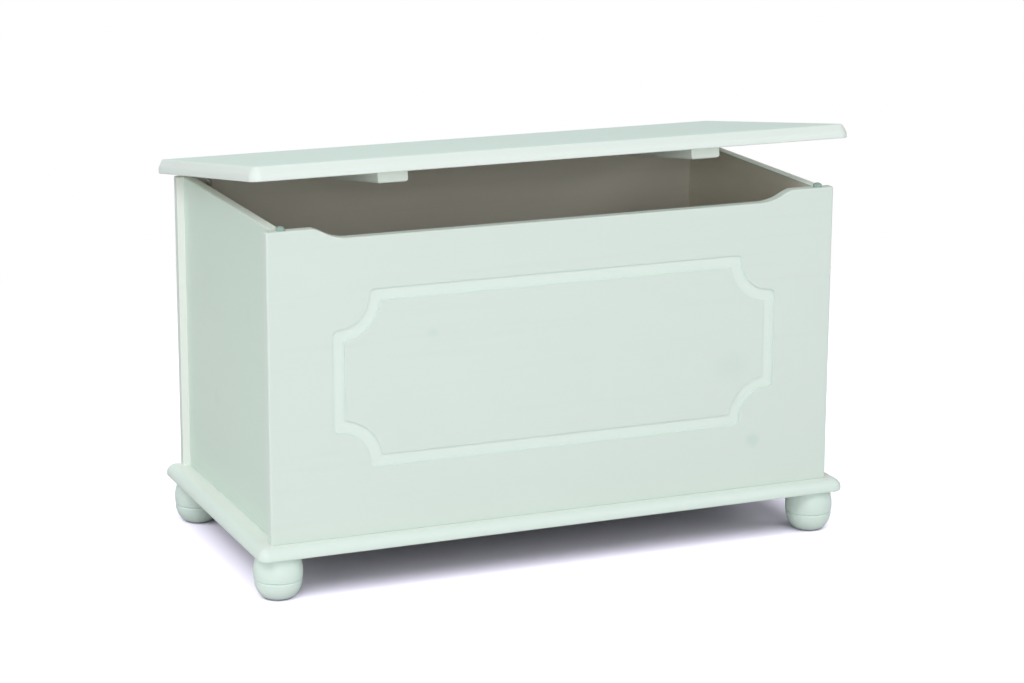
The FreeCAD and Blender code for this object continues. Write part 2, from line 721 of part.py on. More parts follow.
# Hinges: knuckled leaves on the back panel and under the lid, each pair on one pin
small = ("Sizes.small_screw_radius", "Sizes.small_head_radius", "Sizes.small_head_height")
case_wholes = []
case_screws = []
lid_wholes = []
lid_screws = []
for side, sign in SIDES.items():
    centre = sign + "Places.hinge_x"
    start = "%s - Sizes.hinge_length / 2" % centre
    for leaf, axis_y, axis_z, low, way, numbers in (
        ("lower", "Places.hinge_y", "Places.hinge_z", "Places.panel_top", "down", (0, 2, 4)),
        ("upper", "0", "0", "Sizes.lid_gap / 2 - Sizes.leaf_thickness", "up", (1, 3)),
    ):
        name = "hinge_%s_%s_leaf" % (side, leaf)
        edge = "%s - Sizes.knuckle_radius - Sizes.seat_play" % axis_y
        flat = (low, "%s + Sizes.leaf_thickness" % low)
        far = "%s - Sizes.leaf_width" % axis_y
        pieces = [block(name + "_plate", (start, "%s + Sizes.hinge_length" % start),
                        (far, edge), flat)]
        for number in numbers:
            from_x = "%s + %d * (Places.knuckle_length + Sizes.knuckle_play)" % (start, number)
            to_x = "%s + Places.knuckle_length" % from_x
            pieces.append(block(name + "_tab_%d" % number, (from_x, to_x), (edge, axis_y), flat))
            pieces.append(rod(name + "_knuckle_%d" % number, "Sizes.knuckle_radius",
                              "Places.knuckle_length", "right", from_x, axis_y, axis_z))
        bore = rod(name + "_bore", "Sizes.pin_radius + Sizes.pin_play",
                   "Sizes.hinge_length + 2 * Sizes.overrun", "right",
                   "%s - Sizes.overrun" % start, axis_y, axis_z)
        seat = "%s + Sizes.leaf_thickness" % low if way == "down" else low
        line = "%s - Sizes.hinge_screw_depth" % axis_y
        pairs = [screw("%s_screw_%s" % (name, spot), *small, "Sizes.small_screw_length", way,
                       centre + shift, line, seat)
                 for spot, shift in (("a", " - Sizes.hinge_screw_spread"), ("b", ""),
                                     ("c", " + Sizes.hinge_screw_spread"))]
        holes = group(name + "_holes", [whole for whole, piece in pairs])
        item = finish(name, carve(name, join(name + "_blank", pieces), [bore, holes]))
        if leaf == "lower":
            case_wholes += [whole for whole, piece in pairs]
            case_screws += [piece for whole, piece in pairs]
        else:
            lid_wholes += [whole for whole, piece in pairs]
            lid_screws += [piece for whole, piece in pairs]
            swing(item)
    pin = rod("hinge_pin_" + side, "Sizes.pin_radius", "Sizes.hinge_length + 2 * Sizes.pin_overhang",
              "right", "%s - Sizes.pin_overhang" % start, "Places.hinge_y", "Places.hinge_z")
    finish("hinge_%s_pin" % side, pin)
finish("hinge_case_screws", group("hinge_case_screws", case_screws))
swing(finish("hinge_lid_screws", group("hinge_lid_screws", lid_screws)))
case_holes = group("case_hinge_holes", case_wholes)
lid_holes = group("lid_hinge_holes", lid_wholes)


# Folding stay on the left side: two arms of one length that fold as a rhombus with the lid
def layer(number):
    """The stay's sheet layers, counted from the wall."""
    low = "Places.stay_wall + %d * Places.stay_layer" % number
    return low, "%s + Sizes.stay_thickness" % low


def strip(name, number, ends, length):
    """A flat bar with round ends in one layer, running forward from its first pivot."""
    low, high = layer(number)
    radius = "%s / 2" % ends
    pieces = [block(name + "_bar", (low, high), ("-(%s)" % length, "0"), ("-" + radius, radius))]
    for end, place in (("near", "0"), ("far", "-(%s)" % length)):
        pieces.append(rod("%s_%s_end" % (name, end), radius, "Sizes.stay_thickness",
                          "right", low, place))
    return pieces


def rivet(name, low, high, y, z):
    """A shank between two planes."""
    return rod(name, "Sizes.rivet_radius", "(%s) - (%s)" % (high, low), "right", low, y, z)


def rivet_head(name, low, y, z):
    return rod(name, "Sizes.rivet_head_radius", "Sizes.rivet_head_height", "right", low, y, z)


head_back = "Sizes.rivet_head_height"
pivot = ("Places.stay_pivot_y", "Places.stay_pivot_z")
clear = "%s + Sizes.rivet_play" % layer(1)[1]
case_rivet = finish("stay_case_rivet", join("stay_case_rivet", [
    rivet("case_shank", "Places.stay_wall", "%s + %s" % (clear, head_back), *pivot),
    rivet_head("case_head", clear, *pivot),
]))
half = "Sizes.bracket_width / 2"
low, high = layer(0)
plate = [
    block("case_plate", (low, high),
          tuple("Places.stay_pivot_y %s %s" % (sign, half) for sign in "-+"),
          ("Places.stay_pivot_z - Sizes.bracket_length", "Places.stay_pivot_z")),
    rod("case_plate_end", half, "Sizes.stay_thickness", "right", low, *pivot),
]
pairs = [screw("stay_case_screw_%d" % number, *small, "Sizes.small_screw_length", "left", high,
               pivot[0], "Places.stay_pivot_z - Sizes.bracket_screw_first"
               " - %d * Sizes.bracket_screw_spread" % number)
         for number in (0, 1)]
stay_case_holes = group("stay_case_holes", [whole for whole, piece in pairs])
finish("stay_case_screws", group("stay_case_screws", [piece for whole, piece in pairs]))
bracket = join("case_plate_blank", plate)
finish("stay_case_bracket", carve("stay_case_bracket", bracket, [case_rivet, stay_case_holes]))

pieces = strip("lower_arm", 1, "Sizes.stay_width", "Places.stay_length")
low, high = layer(1)
knee = "-Places.stay_length"
reach = "%s - Places.stop_reach" % knee
nose = ("%s - Sizes.stop_size" % reach, knee)
pieces.append(block("lower_arm_nose", (low, high), nose, ("-Sizes.stop_size", "Sizes.stop_size")))
tab = (nose[0], reach)
pieces.append(block("lower_arm_stop", (low, layer(2)[1]), tab,
                    ("-Sizes.stop_size / 2", "Sizes.stop_size / 2")))
clear = "%s + Sizes.rivet_play" % layer(2)[1]
knee_rivet = join("stay_knee_rivet", [
    rivet("knee_shank", low, "%s + %s" % (clear, head_back), knee, "0"),
    rivet_head("knee_back_head", "%s - %s" % (low, head_back), knee, "0"),
    rivet_head("knee_head", clear, knee, "0"),
])
bore = rod("lower_arm_bore", "Sizes.rivet_radius + Sizes.rivet_play",
           "Sizes.stay_thickness + 2 * Sizes.overrun", "right", "%s - Sizes.overrun" % low)
lower_arm = carve("stay_lower_arm", join("lower_arm_blank", pieces), [bore, knee_rivet])
for name, item in (("stay_lower_arm", lower_arm), ("stay_knee_rivet", knee_rivet)):
    case = group(name, [item])
    case.Placement = FreeCAD.Placement(Vector(), FreeCAD.Rotation(Vector(1, 0, 0), 1))
    case.setExpression("Placement.Rotation.Angle", "Places.stay_rest")
    finish(name, move(case, "0", *pivot))

low, high = layer(2)
play = {"knee": "Sizes.rivet_play", "lid": "Sizes.loop_play"}
bores = [rod("upper_arm_%s_bore" % end, "Sizes.rivet_radius + %s" % play[end],
             "Sizes.stay_thickness + 2 * Sizes.overrun", "right", "%s - Sizes.overrun" % low, place)
         for end, place in (("knee", knee), ("lid", "0"))]
blank = join("upper_arm_blank", strip("upper_arm", 2, "Sizes.stay_width", "Places.stay_length"))
upper_arm = carve("stay_upper_arm", blank, bores)
upper_arm.Placement = FreeCAD.Placement(Vector(), FreeCAD.Rotation(Vector(1, 0, 0), 1))
upper_arm.setExpression("Placement.Rotation.Angle", "Places.stay_angle")
finish("stay_upper_arm", move(upper_arm, "0",
                              "Places.knee_y + Places.stay_length * cos(Places.stay_angle)",
                              "Places.knee_z + Places.stay_length * sin(Places.stay_angle)"))

pivot = ("-Sizes.stay_reach_length", "-Sizes.stay_drop_height")
behind = "%s - Sizes.rivet_play - %s" % (layer(2)[0], head_back)
low, high = layer(3)
lid_rivet = join("stay_lid_rivet", [
    rivet("lid_shank", behind, "%s + %s" % (high, head_back), *pivot),
    rivet_head("lid_back_head", behind, *pivot),
    rivet_head("lid_head", high, *pivot),
])
under = "Sizes.lid_gap / 2"
seat = "%s - Sizes.stay_thickness" % under
plate = [
    block("lid_tab", (low, high), tuple("%s %s %s" % (pivot[0], sign, half) for sign in "-+"),
          (pivot[1], under)),
    rod("lid_tab_end", half, "Sizes.stay_thickness", "right", low, *pivot),
    block("lid_flange", (low, "%s + Sizes.flange_width" % low),
          tuple("%s %s Sizes.flange_length / 2" % (pivot[0], sign) for sign in "-+"),
          (seat, under)),
]
pairs = [screw("stay_lid_screw_%d" % number, *small, "Sizes.small_screw_length", "up",
               "%s + Sizes.flange_width / 2" % high,
               "%s %s Sizes.flange_screw_spread" % (pivot[0], sign), seat)
         for number, sign in enumerate("-+", start=1)]
stay_lid_holes = group("stay_lid_holes", [whole for whole, piece in pairs])
swing(finish("stay_lid_screws", group("stay_lid_screws", [piece for whole, piece in pairs])))
bracket = join("lid_bracket_blank", plate)
swing(finish("stay_lid_bracket",
             carve("stay_lid_bracket", bracket, [lid_rivet, stay_lid_holes])))
swing(finish("stay_lid_rivet", group("stay_lid_rivet_turned", [lid_rivet])))


# Lid: one board with a bevelled edge, stiffened by two battens
owner = body("lid_blank")
face = sketch_on(owner, "lid_outline", "XY_Plane", "Sizes.lid_gap / 2")
lid_edge = "Places.lid_front - Places.hinge_y"
outline(face, rectangle(("-Places.lid_half_width", "Places.lid_half_width"),
                        (lid_edge, "-Sizes.knuckle_radius")))
pad(owner, "lid_plate", face, "Sizes.lid_thickness")


def shaped(edge, height):
    """Whether an edge belongs to the front or sides of the lid at one height."""
    return lies(edge, 2, height) and not lies(edge, 1, "-Sizes.knuckle_radius")


upper_face = "Sizes.lid_gap / 2 + Sizes.lid_thickness"
soften(owner, "lid_corner_round", "Fillet", "Sizes.lid_corner_radius",
       lambda edge: standing(edge) and lies(edge, 1, lid_edge))
bevel = soften(owner, "lid_top_bevel", "Chamfer", "Sizes.lid_bevel_height",
               lambda edge: shaped(edge, upper_face))
bevel.ChamferType = "Two distances"
bevel.setExpression("Size2", "Sizes.lid_bevel_width")
soften(owner, "lid_bevel_round", "Fillet", "Sizes.lid_bevel_round",
       lambda edge: shaped(edge, upper_face + " - Sizes.lid_bevel_height"))
soften(owner, "lid_top_round", "Fillet", "Sizes.lid_top_round",
       lambda edge: shaped(edge, upper_face))
soften(owner, "lid_bottom_round", "Fillet", "Sizes.lid_bottom_round",
       lambda edge: shaped(edge, "Sizes.lid_gap / 2"))
lid_blank = owner
batten_low = "Sizes.lid_gap / 2 - Sizes.batten_thickness"
batten_y = ("Places.batten_front - Places.hinge_y", "Places.batten_back - Places.hinge_y")
pairs = []
for side, sign in SIDES.items():
    owner = body("lid_batten_%s_blank" % side)
    face = sketch_on(owner, "batten_outline_" + side, "XY_Plane", batten_low)
    centre = sign + "Places.batten_x"
    across = tuple("%s %s Sizes.batten_width / 2" % (centre, shift) for shift in "-+")
    outline(face, rectangle(across, batten_y))
    pad(owner, "batten_bar_" + side, face, "Sizes.batten_thickness")
    soften(owner, "batten_round_" + side, "Fillet", "Sizes.batten_round",
           lambda edge: lies(edge, 2, batten_low))
    middle = "(%s + %s) / 2" % batten_y
    turns = [screw("batten_screw_%s_%s" % (side, spot), *wood, "Sizes.batten_screw_length", "up",
                   centre, middle + shift, batten_low)
             for spot, shift in (("a", " - Places.batten_screw_reach"), ("b", ""),
                                 ("c", " + Places.batten_screw_reach"))]
    holes = group("batten_holes_" + side, [whole for whole, piece in turns])
    swing(finish("lid_batten_" + side, carve("lid_batten_" + side, owner, [holes])))
    pairs += turns
batten_holes = group("batten_holes", [whole for whole, piece in pairs])
swing(finish("batten_screws", group("batten_screws", [piece for whole, piece in pairs])))
swing(finish("lid_board", carve("lid_board", lid_blank, [batten_holes, lid_holes, stay_lid_holes])))


# Boards of the case with the holes for their fixings
finish("base_plate", carve("base_plate", base_blank, [insert_blanks, base_holes]))
joints = [corner_dowels, cam_bolts, base_holes]
finish("front_panel", carve("front_panel", front_blank, joints))
finish("back_panel", carve("back_panel", back_blank, joints + [case_holes]))
for side in SIDES:
    holes = [locks] + joints + ([stay_case_holes] if side == "left" else [])
    finish(side + "_side_panel", carve(side + "_side_panel", side_blanks[side], holes))


# Every piece is checked and saved on its own
doc.recompute()
troubled = [item.Label for item in doc.Objects
            if "Invalid" in item.State or "Error" in item.State]
os.makedirs("parts", exist_ok=True)
for name, item in nodes.items():
    shape = item.Shape
    if shape.isNull() or not shape.isValid() or not shape.Solids:
        troubled.append(name)
    shape.exportStep("parts/%s.step" % name)
print("%d pieces, troubled: %s" % (len(nodes), troubled or "none"))
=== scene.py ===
import json
import math

import bpy
import numpy as np
from mathutils import Matrix, Vector


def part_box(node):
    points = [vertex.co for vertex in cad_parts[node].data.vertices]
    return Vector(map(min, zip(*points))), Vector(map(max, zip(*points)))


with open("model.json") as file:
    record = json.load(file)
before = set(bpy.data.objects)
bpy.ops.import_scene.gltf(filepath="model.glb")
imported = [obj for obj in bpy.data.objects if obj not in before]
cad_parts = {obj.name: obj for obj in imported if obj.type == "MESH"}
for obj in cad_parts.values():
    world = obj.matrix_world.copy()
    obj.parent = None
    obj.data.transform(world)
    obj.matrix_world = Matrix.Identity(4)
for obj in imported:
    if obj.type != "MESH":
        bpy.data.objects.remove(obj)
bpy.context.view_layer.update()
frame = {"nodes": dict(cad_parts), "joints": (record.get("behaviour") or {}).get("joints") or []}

nodes = frame["nodes"]


# Front, back, side and base boards of the box. They are solid boards under a white paint with a cool
# mint tint, brushed along the grain and rubbed to a satin gloss, then drawn together by hidden locks.
def fill(tree, node, inputs):
    """Sets or links a node's named or numbered inputs."""
    for key, value in inputs.items():
        if isinstance(value, bpy.types.NodeSocket):
            tree.links.new(value, node.inputs[key])
        else:
            node.inputs[key].default_value = value


def add_node(tree, kind, inputs=None, **settings):
    """Adds a shader node, sets its properties, and then sets or links its inputs."""
    node = tree.nodes.new(kind)
    for key, value in settings.items():
        setattr(node, key, value)
    fill(tree, node, inputs or {})
    return node


def new_group(name, inputs, outputs):
    """A shader node group with named sockets, each given as (name, socket type, default or None).

    Returns the group, the sockets of what it is given, and the node that takes what it puts out."""
    group = bpy.data.node_groups.new(name, "ShaderNodeTree")
    for in_out, sockets in (("INPUT", inputs), ("OUTPUT", outputs)):
        for label, kind, value in sockets:
            socket = group.interface.new_socket(label, in_out=in_out, socket_type=kind)
            if value is not None:
                socket.default_value = value
    return group, group.nodes.new("NodeGroupInput").outputs, group.nodes.new("NodeGroupOutput")


def new_material(name):
    """A material whose node tree is still empty, and that tree."""
    material = bpy.data.materials.new(name)
    material.use_nodes = True
    material.node_tree.nodes.clear()
    return material, material.node_tree


def linear(red, green, blue):
    """An 8-bit screen colour as the linear colour that a shader takes."""
    shares = [value / 255 for value in (red, green, blue)]
    return tuple(s / 12.92 if s <= 0.04045 else ((s + 0.055) / 1.055) ** 2.4 for s in shares) + (1,)


BRUSHED_PAINT, given, group_out = new_group(
    "Brushed paint",
    [("Along grain", "NodeSocketVector", None), ("Position", "NodeSocketVector", None),
     ("Colour", "NodeSocketColor", (0.8, 0.8, 0.8, 1)),
     ("Thin colour", "NodeSocketColor", (0.7, 0.7, 0.7, 1)),
     ("Roughness", "NodeSocketFloat", 0.4), ("Grain", "NodeSocketFloat", 0.3)],
    [("Colour", "NodeSocketColor", None), ("Roughness", "NodeSocketFloat", None),
     ("Height", "NodeSocketFloat", None)])
streaks = add_node(BRUSHED_PAINT, "ShaderNodeTexNoise",
                   {"Vector": given["Along grain"], "Scale": 1.0, "Detail": 4.0, "Roughness": 0.6})
peel = add_node(BRUSHED_PAINT, "ShaderNodeTexNoise",
                {"Vector": given["Position"], "Scale": 420.0, "Detail": 2.0})
clouds = add_node(BRUSHED_PAINT, "ShaderNodeTexNoise",
                  {"Vector": given["Position"], "Scale": 3.5, "Detail": 3.0, "Roughness": 0.45})
thin = add_node(BRUSHED_PAINT, "ShaderNodeMapRange",
                {"Value": streaks.outputs["Fac"], "From Min": 0.5, "From Max": 0.8, "To Max": 0.55})
mottle = add_node(BRUSHED_PAINT, "ShaderNodeMapRange",
                  {"Value": clouds.outputs["Fac"], "From Min": 0.35, "From Max": 0.75, "To Max": 0.35})
share = add_node(BRUSHED_PAINT, "ShaderNodeMath",
                 {0: thin.outputs["Result"], 1: mottle.outputs["Result"]}, operation="MAXIMUM")
tint = add_node(BRUSHED_PAINT, "ShaderNodeMix",
                {"Factor": share.outputs[0], "A": given["Colour"], "B": given["Thin colour"]},
                data_type="RGBA")
gloss = add_node(BRUSHED_PAINT, "ShaderNodeMath",
                 {0: clouds.outputs["Fac"], 1: 0.16, 2: given["Roughness"]}, operation="MULTIPLY_ADD")
grain = add_node(BRUSHED_PAINT, "ShaderNodeMath",
                 {0: streaks.outputs["Fac"], 1: given["Grain"]}, operation="MULTIPLY")
height = add_node(BRUSHED_PAINT, "ShaderNodeMath",
                  {0: peel.outputs["Fac"], 1: 0.12, 2: grain.outputs[0]}, operation="MULTIPLY_ADD")
fill(BRUSHED_PAINT, group_out,
     {"Colour": tint.outputs["Result"], "Roughness": gloss.outputs[0], "Height": height.outputs[0]})

BORDER_BLUR = 0.0002
BOX_MASK, given, group_out = new_group(
    "Box mask",
    [("Position", "NodeSocketVector", None), ("Centre", "NodeSocketVector", None),
     ("Half size", "NodeSocketVector", None)],
    [("Mask", "NodeSocketFloat", None)])
from_centre = add_node(BOX_MASK, "ShaderNodeVectorMath",
                       {0: given["Position"], 1: given["Centre"]}, operation="SUBTRACT")
outward = add_node(BOX_MASK, "ShaderNodeVectorMath", {0: from_centre.outputs[0]}, operation="ABSOLUTE")
beyond = add_node(BOX_MASK, "ShaderNodeVectorMath",
                  {0: outward.outputs[0], 1: given["Half size"]}, operation="SUBTRACT")
apart = add_node(BOX_MASK, "ShaderNodeSeparateXYZ", {0: beyond.outputs[0]})
wider = add_node(BOX_MASK, "ShaderNodeMath",
                 {0: apart.outputs[0], 1: apart.outputs[1]}, operation="MAXIMUM")
widest = add_node(BOX_MASK, "ShaderNodeMath",
                  {0: wider.outputs[0], 1: apart.outputs[2]}, operation="MAXIMUM")
within = add_node(BOX_MASK, "ShaderNodeMapRange",
                  {"Value": widest.outputs[0], "From Min": BORDER_BLUR, "From Max": -BORDER_BLUR})
fill(BOX_MASK, group_out, {"Mask": within.outputs["Result"]})

KNOT_MASK, given, group_out = new_group(
    "Knot mask",
    [("Position", "NodeSocketVector", None), ("Centre", "NodeSocketVector", None),
     ("Half size", "NodeSocketVector", None), ("Strength", "NodeSocketFloat", 0.5)],
    [("Mask", "NodeSocketFloat", None)])
from_centre = add_node(KNOT_MASK, "ShaderNodeVectorMath",
                       {0: given["Position"], 1: given["Centre"]}, operation="SUBTRACT")
in_sizes = add_node(KNOT_MASK, "ShaderNodeVectorMath",
                    {0: from_centre.outputs[0], 1: given["Half size"]}, operation="DIVIDE")
off = add_node(KNOT_MASK, "ShaderNodeVectorMath", {0: in_sizes.outputs[0]}, operation="LENGTH")
ragged = add_node(KNOT_MASK, "ShaderNodeTexNoise",
                  {"Vector": in_sizes.outputs[0], "Scale": 1.6, "Detail": 2.0})
rim = add_node(KNOT_MASK, "ShaderNodeMath",
               {0: ragged.outputs["Fac"], 1: 0.7, 2: off.outputs["Value"]}, operation="MULTIPLY_ADD")
core = add_node(KNOT_MASK, "ShaderNodeMapRange",
                {"Value": rim.outputs[0], "From Min": 1.4, "From Max": 0.5, "To Max": given["Strength"]},
                interpolation_type="SMOOTHSTEP")
fill(KNOT_MASK, group_out, {"Mask": core.outputs["Result"]})


def painted(name, stretch, paint, zones=(), knots=(), turn=0.0, shift=(0, 0, 0),
            grain=0.5, roughness=0.3):
    """Painted wood whose brush marks and grain run along the axis that stretch scales least.

    A zone is a box (low corner, high corner, paint) with another paint, and a knot (centre, half size,
    strength) shows faintly through the paint. Turn, an angle about X, and then shift bring a piece of
    the ajar lid to where it lies when shut, and its zones and knots are given there."""
    material, tree = new_material(name)
    place = add_node(tree, "ShaderNodeTexCoord").outputs["Object"]
    straight = add_node(tree, "ShaderNodeMapping",
                        {"Vector": place, "Rotation": (turn, 0, 0), "Location": shift}).outputs["Vector"]
    along = add_node(tree, "ShaderNodeMapping", {"Vector": straight, "Scale": stretch})
    layers = []
    for low, high, zone_paint in zones:
        sizes = {"Position": straight, "Centre": (np.array(low) + high) / 2,
                 "Half size": (np.array(high) - low) / 2}
        layers.append((add_node(tree, "ShaderNodeGroup", sizes, node_tree=BOX_MASK), zone_paint))
    for centre, half_size, strength in knots:
        sizes = {"Position": straight, "Centre": centre, "Half size": half_size, "Strength": strength}
        layers.append((add_node(tree, "ShaderNodeGroup", sizes, node_tree=KNOT_MASK), KNOT_PAINT))
    colours = list(paint)
    for mask, layer_paint in layers:
        for number in (0, 1):
            colours[number] = add_node(tree, "ShaderNodeMix",
                                       {"Factor": mask.outputs["Mask"], "A": colours[number],
                                        "B": layer_paint[number]}, data_type="RGBA").outputs["Result"]
    laid = add_node(tree, "ShaderNodeGroup",
                    {"Along grain": along.outputs["Vector"], "Position": place, "Colour": colours[0],
                     "Thin colour": colours[1], "Roughness": roughness, "Grain": grain},
                    node_tree=BRUSHED_PAINT)
    relief = add_node(tree, "ShaderNodeBump",
                      {"Strength": 0.25, "Distance": 0.0006, "Height": laid.outputs["Height"]})
    surface = add_node(tree, "ShaderNodeBsdfPrincipled",
                       {"Base Color": laid.outputs["Colour"], "Roughness": laid.outputs["Roughness"],
                        "Normal": relief.outputs["Normal"], "Specular IOR Level": 0.4})
    add_node(tree, "ShaderNodeOutputMaterial", {"Surface": surface.outputs["BSDF"]})
    return material


def dress(names, material):
    """Gives a finish to CAD pieces."""
    for name in names:
        piece = nodes[name]
        piece.data.materials.clear()
        piece.data.materials.append(material)


# Each paint is its colour where it is thick and where it is thin.
FACE_PAINT = (linear(219, 232, 225), linear(214, 227, 219))
SIDE_PAINT = (linear(214, 232, 221), linear(209, 227, 215))
ROUTED_PAINT = (linear(226, 240, 233), linear(222, 236, 229))
# The two inner paints are the box's white, warmed and lightened as painted bounce light inside the box and
# under the lid.
INNER_BOUNCE_LIGHT_PAINT = (linear(234, 232, 221), linear(226, 223, 210))
INNER_SIDE_BOUNCE_LIGHT_PAINT = (linear(238, 233, 219), linear(230, 224, 208))
BASE_EDGE_PAINT = (linear(225, 240, 233), linear(221, 236, 229))
# The base's flat ledge, lightened as painted light.
LEDGE_PAINTED_LIGHT = (linear(234, 242, 235), linear(230, 238, 231))
# The side boards' top edges are lightened here as painted light where the lid shades them.
TOP_EDGE_PAINTED_LIGHT = (linear(241, 252, 245), linear(237, 248, 240))
# The back board's ends, lightened as painted light where the side boards shade them.
STRIP_PAINTED_LIGHT = (linear(244, 247, 242), linear(239, 242, 236))
KNOT_PAINT = (linear(198, 222, 214), linear(194, 217, 208))

# The borders of the painted zones, in metres. SKIN is how far a border lies off the surface beside it,
# OVER how far a zone goes on past a free surface, and FAR lies beyond every piece.
SKIN, OVER, FAR = 0.0004, 0.01, 1
# The inner paint, warmed and lightened as painted bounce light, ends this far below the top edges.
RIM_DEPTH = 0.002
# The box round the routed frame, and from where to where it goes behind the front face.
GROOVE_REACH, GROOVE_BOTTOM, GROOVE_TOP = 0.36, 0.1, 0.46
GROOVE_FROM, GROOVE_TO = 0.0005, 0.006
# The back board shows beyond the outer face of each side board, a little less than its 15 mm out, and
# these ends get a lightened paint as painted light.
STRIP_START, STRIP_DEPTH = 0.0145, 0.001
# The base board's ledge is what its rounded edge, 10 mm wide, leaves flat, and its paint is lightened as
# painted light.
BASE_ROUND = 0.0101
front_low, front_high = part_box("front_panel")
back_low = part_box("back_panel")[0]
inner_x = -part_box("left_side_panel")[1][0]
base_low, base_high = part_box("base_plate")
# The inside of the box, which gets the inner paint and its painted bounce light.
room = ((-inner_x - SKIN, front_high[1] - SKIN, front_low[2] - SKIN),
        (inner_x + SKIN, back_low[1] + SKIN, front_high[2] - RIM_DEPTH))
groove = ((-GROOVE_REACH, front_low[1] + GROOVE_FROM, GROOVE_BOTTOM),
          (GROOVE_REACH, front_low[1] + GROOVE_TO, GROOVE_TOP), ROUTED_PAINT)
# The side boards' top edges, with painted light where the lid shades them.
painted_light_top_edges = ((-FAR, front_high[1], front_high[2] - SKIN),
             (FAR, back_low[1], front_high[2] + OVER), TOP_EDGE_PAINTED_LIGHT)
painted_light_strips = [((low, back_low[1] - STRIP_DEPTH, 0), (high, back_low[1] + STRIP_DEPTH, FAR), STRIP_PAINTED_LIGHT)
          for low, high in ((-FAR, -inner_x - STRIP_START), (inner_x + STRIP_START, FAR))]
painted_light_ledge = (base_low + Vector((BASE_ROUND, BASE_ROUND, -OVER)),
         base_high + Vector((-BASE_ROUND, -SKIN, OVER)), LEDGE_PAINTED_LIGHT)
long_grain = (3, 60, 60)
deep_grain = (55, 2.8, 55)
front_knots = [((0.295, front_low[1], 0.145), (0.015, 0.03, 0.014), 0.5),
               ((0.261, front_low[1], 0.254), (0.034, 0.04, 0.026), 0.22),
               ((-0.184, front_low[1], 0.345), (0.012, 0.02, 0.008), 0.3)]
back_knots = [((-0.21, 0.215, 0.3), (0.016, 0.03, 0.012), 0.2)]
side_knots = [((x, y, z), (0.03, 0.016, 0.018), 0.2)
              for x, y, z in ((-0.4, 0.06, 0.21), (-0.4, -0.09, 0.36), (0.4, 0.02, 0.3))]
dress(["front_panel"],
      painted("front board paint", long_grain, FACE_PAINT, [(*room, INNER_BOUNCE_LIGHT_PAINT), groove], front_knots))
dress(["back_panel"],
      painted("back board paint", long_grain, FACE_PAINT, [(*room, INNER_BOUNCE_LIGHT_PAINT), *painted_light_strips], back_knots))
dress(["left_side_panel", "right_side_panel"],
      painted("side board paint", deep_grain, SIDE_PAINT, [(*room, INNER_SIDE_BOUNCE_LIGHT_PAINT), painted_light_top_edges],
              side_knots))
dress(["base_plate"],
      painted("base board paint", long_grain, BASE_EDGE_PAINT, [painted_light_ledge, (*room, INNER_BOUNCE_LIGHT_PAINT)]))


# Lid and its battens. The lid is one glued board with a bevelled edge, and the battens keep it flat.
# Both have a paint like the box's, and screws through the battens hold the two together.
LID_PAINT = (linear(220, 240, 232), linear(215, 235, 226))
LID_EDGE_PAINT = (linear(231, 241, 236), linear(227, 237, 232))
# The battens' paint is lightened as painted light, for their fronts in the lid's shade.
BATTEN_PAINTED_LIGHT = (linear(242, 254, 247), linear(238, 250, 242))
AJAR = math.radians(8.7)
LID_OVERHANG, LID_GAP = 0.012, 0.003
# The top's paint starts inside the bevel and just under the top face, 19.5 mm above the underside, and
# the inner paint, with its painted bounce light, covers the underside alone.
BEVEL_WIDTH, TOP_FROM, TOP_TO = 0.006, 0.0188, 0.03
UNDER_INSET, UNDER_SKIN = 0.003, 0.0003
lid_grain = (2.4, 48, 48)
batten_grain = (60, 3, 60)
hinge = Vector(next(joint["pos_m"] for joint in frame["joints"] if joint["name"] == "lid_hinge"))
lid_shift = hinge - Matrix.Rotation(AJAR, 3, "X") @ hinge
lid_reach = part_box("lid_board")[1][0]
lid_front = front_low[1] - LID_OVERHANG
lid_under = front_high[2] + LID_GAP
lid_faces = [((-lid_reach + BEVEL_WIDTH, lid_front + BEVEL_WIDTH, lid_under + TOP_FROM),
              (lid_reach - BEVEL_WIDTH, hinge[1], lid_under + TOP_TO), LID_PAINT),
             ((-lid_reach + UNDER_INSET, lid_front + UNDER_INSET, lid_under - OVER),
              (lid_reach - UNDER_INSET, hinge[1], lid_under + UNDER_SKIN), INNER_BOUNCE_LIGHT_PAINT)]
lid_knots = [((0.13, 0.02, lid_under + 0.018), (0.02, 0.012, 0.02), 0.2)]
dress(["lid_board"],
      painted("lid paint", lid_grain, LID_EDGE_PAINT, lid_faces, lid_knots, AJAR, lid_shift,
              roughness=0.42))
dress(["lid_batten_left", "lid_batten_right"],
      painted("batten paint", batten_grain, BATTEN_PAINTED_LIGHT, turn=AJAR, shift=lid_shift))


# Feet. They are turned from solid wood, with a fine groove round the middle, painted on the lathe.
# A stud in each foot screws into a threaded insert in the base board.
FOOT_PAINT = (linear(223, 240, 233), linear(218, 236, 228))
lathe_marks = (6, 6, 160)
dress(["front_left_foot", "front_right_foot", "back_left_foot", "back_right_foot"],
      painted("foot paint", lathe_marks, FOOT_PAINT, grain=0.35))


# Bumpers. Two clear domes of soft polymer, stuck to the front corners, catch the lid as it shuts.
# They are slightly greenish and pass a little light.
clear_dome, tree = new_material("clear bumper")
place = add_node(tree, "ShaderNodeTexCoord")
haze = add_node(tree, "ShaderNodeTexNoise", {"Vector": place.outputs["Object"], "Scale": 260.0})
cloud = add_node(tree, "ShaderNodeMapRange",
                 {"Value": haze.outputs["Fac"], "To Min": 0.16, "To Max": 0.34})
soft = add_node(tree, "ShaderNodeBsdfPrincipled",
                {"Base Color": linear(172, 200, 190), "Roughness": cloud.outputs["Result"],
                 "IOR": 1.48, "Transmission Weight": 0.25})
add_node(tree, "ShaderNodeOutputMaterial", {"Surface": soft.outputs["BSDF"]})
dress(["bumper_left", "bumper_right"], clear_dome)


